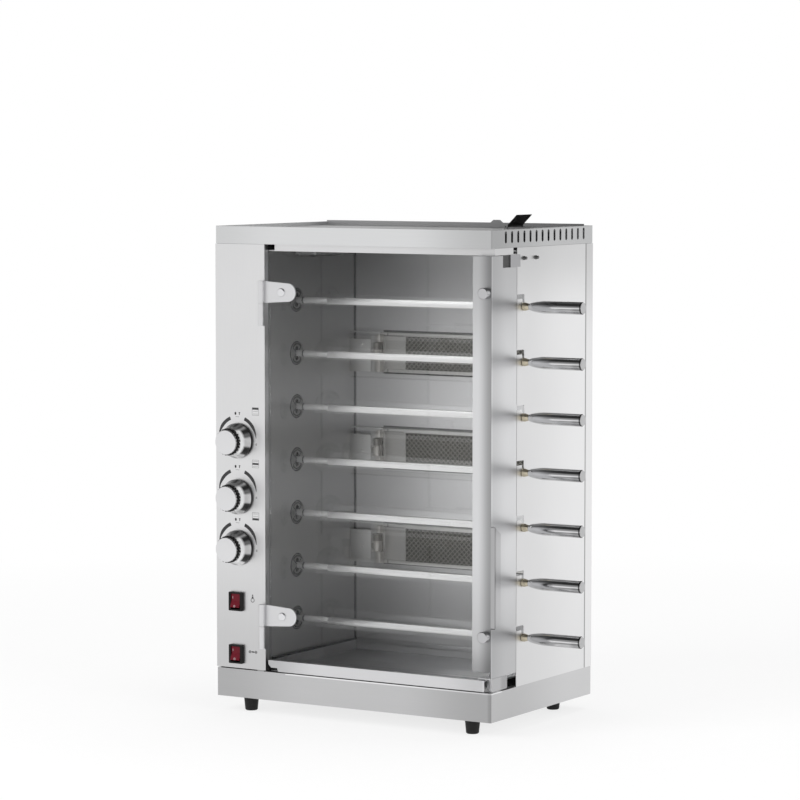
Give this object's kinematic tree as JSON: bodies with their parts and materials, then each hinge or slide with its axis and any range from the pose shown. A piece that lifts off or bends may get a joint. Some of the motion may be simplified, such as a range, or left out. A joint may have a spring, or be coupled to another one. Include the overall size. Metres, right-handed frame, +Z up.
{
  "type": "vertical gas rotisserie",
  "caption": "Tabletop gas rotisserie with stacked horizontal spits, a side-hinged glass door, back wall burners, gas knobs and a pull-out drip tray.",
  "frame": {"origin": "middle of the overall footprint, spit handles and gas inlet included, on the surface under the rubber feet", "axes": "+X towards the spit handles, +Y towards the back, +Z up"},
  "size_m": [0.7002, 0.43, 0.9114],
  "materials": {
    "satin_steel": "satin",
    "chamber_steel": "satin",
    "spit_steel": "polished",
    "gear_steel": "machined",
    "bearing_metal": "machined",
    "motor_paint": "satin",
    "tempered_glass": "clear",
    "lamp_glass": "frosted",
    "clamp_steel": "polished",
    "burner_steel": "satin",
    "burner_mesh": "woven and heat stained",
    "pilot_metal": "heat stained",
    "brass": "machined",
    "pipe_metal": "bright",
    "knob_metal": "satin chrome",
    "black_plastic": "matte",
    "rocker_red": "gloss",
    "foot_rubber": "matte",
    "damper_black": "matte"
  },
  "bodies": {
    "casing": {"base_plinth": "satin_steel", "rubber_feet": "foot_rubber", "left_side_panel": "satin_steel", "control_panel": "satin_steel", "left_inner_wall": "chamber_steel", "back_inner_wall": "chamber_steel", "rear_panel": "satin_steel", "right_side_panel": "satin_steel", "top_cap": "satin_steel", "top_plate": "satin_steel", "ceiling_panel": "satin_steel", "tray_runners": "satin_steel", "drive_bearings": "bearing_metal", "motor_bracket": "gear_steel", "gearmotor": "motor_paint", "hinge_leaves": "clamp_steel", "catch_bracket": "satin_steel", "catch_magnet": "black_plastic", "burner_housings": "burner_steel", "burner_meshes": "burner_mesh", "burner_shields": "burner_steel", "pilot_burners": "pilot_metal", "gas_valves": "brass", "gas_manifold": "brass", "burner_pipes": "pipe_metal", "switch_bezels": "black_plastic", "lamp_frame": "chamber_steel", "lamp_lens": "lamp_glass", "cable_gland": "black_plastic"},
    "door": {"door_glass": "tempered_glass", "door_stile": "satin_steel", "door_pull": "satin_steel", "door_hinge_arms": "clamp_steel", "glass_clamps": "clamp_steel"},
    "pinion": {"motor_pinion": "gear_steel"},
    "lamp_switch": {"lamp_rocker": "rocker_red"},
    "motor_switch": {"motor_rocker": "rocker_red"},
    "tray": {"drip_tray": "satin_steel"},
    "damper": {"flue_damper": "damper_black"},
    "spit_1": {"spit_1": "spit_steel", "drive_gear_1": "gear_steel"},
    "spit_2": {"spit_2": "spit_steel", "drive_gear_2": "gear_steel"},
    "spit_3": {"spit_3": "spit_steel", "drive_gear_3": "gear_steel"},
    "spit_4": {"spit_4": "spit_steel", "drive_gear_4": "gear_steel"},
    "spit_5": {"spit_5": "spit_steel", "drive_gear_5": "gear_steel"},
    "spit_6": {"spit_6": "spit_steel", "drive_gear_6": "gear_steel"},
    "spit_7": {"spit_7": "spit_steel", "drive_gear_7": "gear_steel"},
    "knob_1": {"gas_knob_1": "knob_metal"},
    "stem_1": {"valve_stem_1": "brass"},
    "knob_2": {"gas_knob_2": "knob_metal"},
    "stem_2": {"valve_stem_2": "brass"},
    "knob_3": {"gas_knob_3": "knob_metal"},
    "stem_3": {"valve_stem_3": "brass"}
  },
  "joints": [
    {"name": "door_hinge", "type": "hinge", "parent": "casing", "child": "door", "pos_m": [-0.24575, -0.1807, 0.47725], "axis": [0, 0, -1], "range_deg": [0, 110]},
    {"name": "spit_1_turn", "type": "hinge", "parent": "casing", "child": "spit_1", "pos_m": [-0.27605, -0.0615, 0.7525], "axis": [1, 0, 0], "continuous": true},
    {"name": "spit_2_turn", "type": "hinge", "parent": "casing", "child": "spit_2", "pos_m": [-0.27605, -0.0615, 0.6545], "axis": [1, 0, 0], "continuous": true},
    {"name": "spit_3_turn", "type": "hinge", "parent": "casing", "child": "spit_3", "pos_m": [-0.27605, -0.0615, 0.5565], "axis": [1, 0, 0], "continuous": true},
    {"name": "spit_4_turn", "type": "hinge", "parent": "casing", "child": "spit_4", "pos_m": [-0.27605, -0.0615, 0.4585], "axis": [1, 0, 0], "continuous": true},
    {"name": "spit_5_turn", "type": "hinge", "parent": "casing", "child": "spit_5", "pos_m": [-0.27605, -0.0615, 0.3605], "axis": [1, 0, 0], "continuous": true},
    {"name": "spit_6_turn", "type": "hinge", "parent": "casing", "child": "spit_6", "pos_m": [-0.27605, -0.0615, 0.2625], "axis": [1, 0, 0], "continuous": true},
    {"name": "spit_7_turn", "type": "hinge", "parent": "casing", "child": "spit_7", "pos_m": [-0.27605, -0.0615, 0.1645], "axis": [1, 0, 0], "continuous": true},
    {"name": "motor_turn", "type": "hinge", "parent": "casing", "child": "pinion", "pos_m": [-0.27605, 0.012, 0.1645], "axis": [1, 0, 0], "continuous": true},
    {"name": "valve_1_push", "type": "slide", "parent": "casing", "child": "stem_1", "axis": [0, 1, 0], "range_m": [0, 0.0035], "stiffness_N_per_m": 1500, "springref_m": -0.002},
    {"name": "knob_1_turn", "type": "hinge", "parent": "stem_1", "child": "knob_1", "pos_m": [-0.30205, -0.1783, 0.499], "axis": [0, 1, 0], "range_deg": [-90, 90]},
    {"name": "valve_2_push", "type": "slide", "parent": "casing", "child": "stem_2", "axis": [0, 1, 0], "range_m": [0, 0.0035], "stiffness_N_per_m": 1500, "springref_m": -0.002},
    {"name": "knob_2_turn", "type": "hinge", "parent": "stem_2", "child": "knob_2", "pos_m": [-0.30205, -0.1783, 0.3965], "axis": [0, 1, 0], "range_deg": [-90, 90]},
    {"name": "valve_3_push", "type": "slide", "parent": "casing", "child": "stem_3", "axis": [0, 1, 0], "range_m": [0, 0.0035], "stiffness_N_per_m": 1500, "springref_m": -0.002},
    {"name": "knob_3_turn", "type": "hinge", "parent": "stem_3", "child": "knob_3", "pos_m": [-0.30205, -0.1783, 0.303], "axis": [0, 1, 0], "range_deg": [-90, 90]},
    {"name": "lamp_switch_rock", "type": "hinge", "parent": "casing", "child": "lamp_switch", "pos_m": [-0.30555, -0.1715, 0.204], "axis": [1, 0, 0], "range_deg": [0, 20]},
    {"name": "motor_switch_rock", "type": "hinge", "parent": "casing", "child": "motor_switch", "pos_m": [-0.30555, -0.1715, 0.107], "axis": [1, 0, 0], "range_deg": [0, 20]},
    {"name": "tray_slide", "type": "slide", "parent": "casing", "child": "tray", "axis": [0, -1, 0], "range_m": [0, 0.28]},
    {"name": "damper_hinge", "type": "hinge", "parent": "casing", "child": "damper", "pos_m": [0.14595, 0.0525, 0.8898], "axis": [0, 1, 0], "range_deg": [-45, 45]}
  ],
  "couplings": [
    {"joint": "spit_2_turn", "follows": "spit_1_turn", "ratio": -1},
    {"joint": "spit_3_turn", "follows": "spit_1_turn", "ratio": 1},
    {"joint": "spit_4_turn", "follows": "spit_1_turn", "ratio": -1},
    {"joint": "spit_5_turn", "follows": "spit_1_turn", "ratio": 1},
    {"joint": "spit_6_turn", "follows": "spit_1_turn", "ratio": -1},
    {"joint": "spit_7_turn", "follows": "spit_1_turn", "ratio": 1},
    {"joint": "motor_turn", "follows": "spit_1_turn", "ratio": -2}
  ]
}
